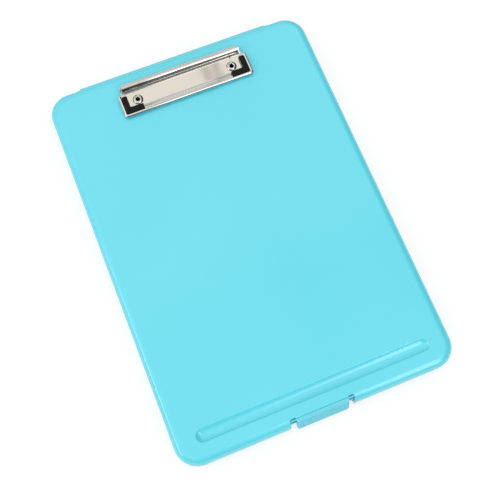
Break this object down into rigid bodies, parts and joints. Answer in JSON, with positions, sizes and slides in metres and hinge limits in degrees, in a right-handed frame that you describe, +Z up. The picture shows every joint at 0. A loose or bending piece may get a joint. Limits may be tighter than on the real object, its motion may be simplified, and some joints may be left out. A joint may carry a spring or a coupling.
{
  "type": "storage clipboard box",
  "caption": "Flat hinged storage case whose lid is a clipboard, with a low-profile sprung clip, a pen groove and a front latch flap.",
  "frame": {"origin": "middle of the case's footprint, on the flat underside that it rests on", "axes": "+X across the width, +Y from the latch towards the hinge along the length, +Z up out of the writing board"},
  "size_m": [0.24, 0.346, 0.0285],
  "materials": {
    "case_plastic": "satin moulded polypropylene, light turquoise",
    "nickel_plate": "bright nickel plate",
    "spring_steel": "drawn spring wire",
    "plain_steel": "drawn steel rod",
    "black_rubber": "matt moulded rubber"
  },
  "bodies": {
    "base": {"base_tray": "case_plastic", "hinge_rod": "plain_steel"},
    "lid": {"lid": "case_plastic", "latch_pin": "case_plastic", "clip_base_plate": "nickel_plate", "clip_pivot_rod": "nickel_plate", "clip_spring_left": "spring_steel", "clip_spring_right": "spring_steel", "rivet_left": "nickel_plate", "rivet_right": "nickel_plate", "rivet_washer_left": "nickel_plate", "rivet_washer_right": "nickel_plate"},
    "latch": {"latch_flap": "case_plastic"},
    "jaw": {"clip_jaw": "nickel_plate", "corner_pad_left": "black_rubber", "corner_pad_right": "black_rubber"}
  },
  "joints": [
    {"name": "lid_hinge", "type": "hinge", "parent": "base", "child": "lid", "pos_m": [0, 0.1705, 0.011], "axis": [-1, 0, 0], "range_deg": [0, 160]},
    {"name": "latch_pivot", "type": "hinge", "parent": "lid", "child": "latch", "pos_m": [0, -0.165, 0.0201], "axis": [-1, 0, 0], "range_deg": [0, 65]},
    {"name": "jaw_pivot", "type": "hinge", "parent": "lid", "child": "jaw", "pos_m": [0, 0.1533, 0.02525], "axis": [-1, 0, 0], "range_deg": [0, 35], "stiffness_Nm_per_rad": 0.3, "springref_deg": -45.84}
  ]
}
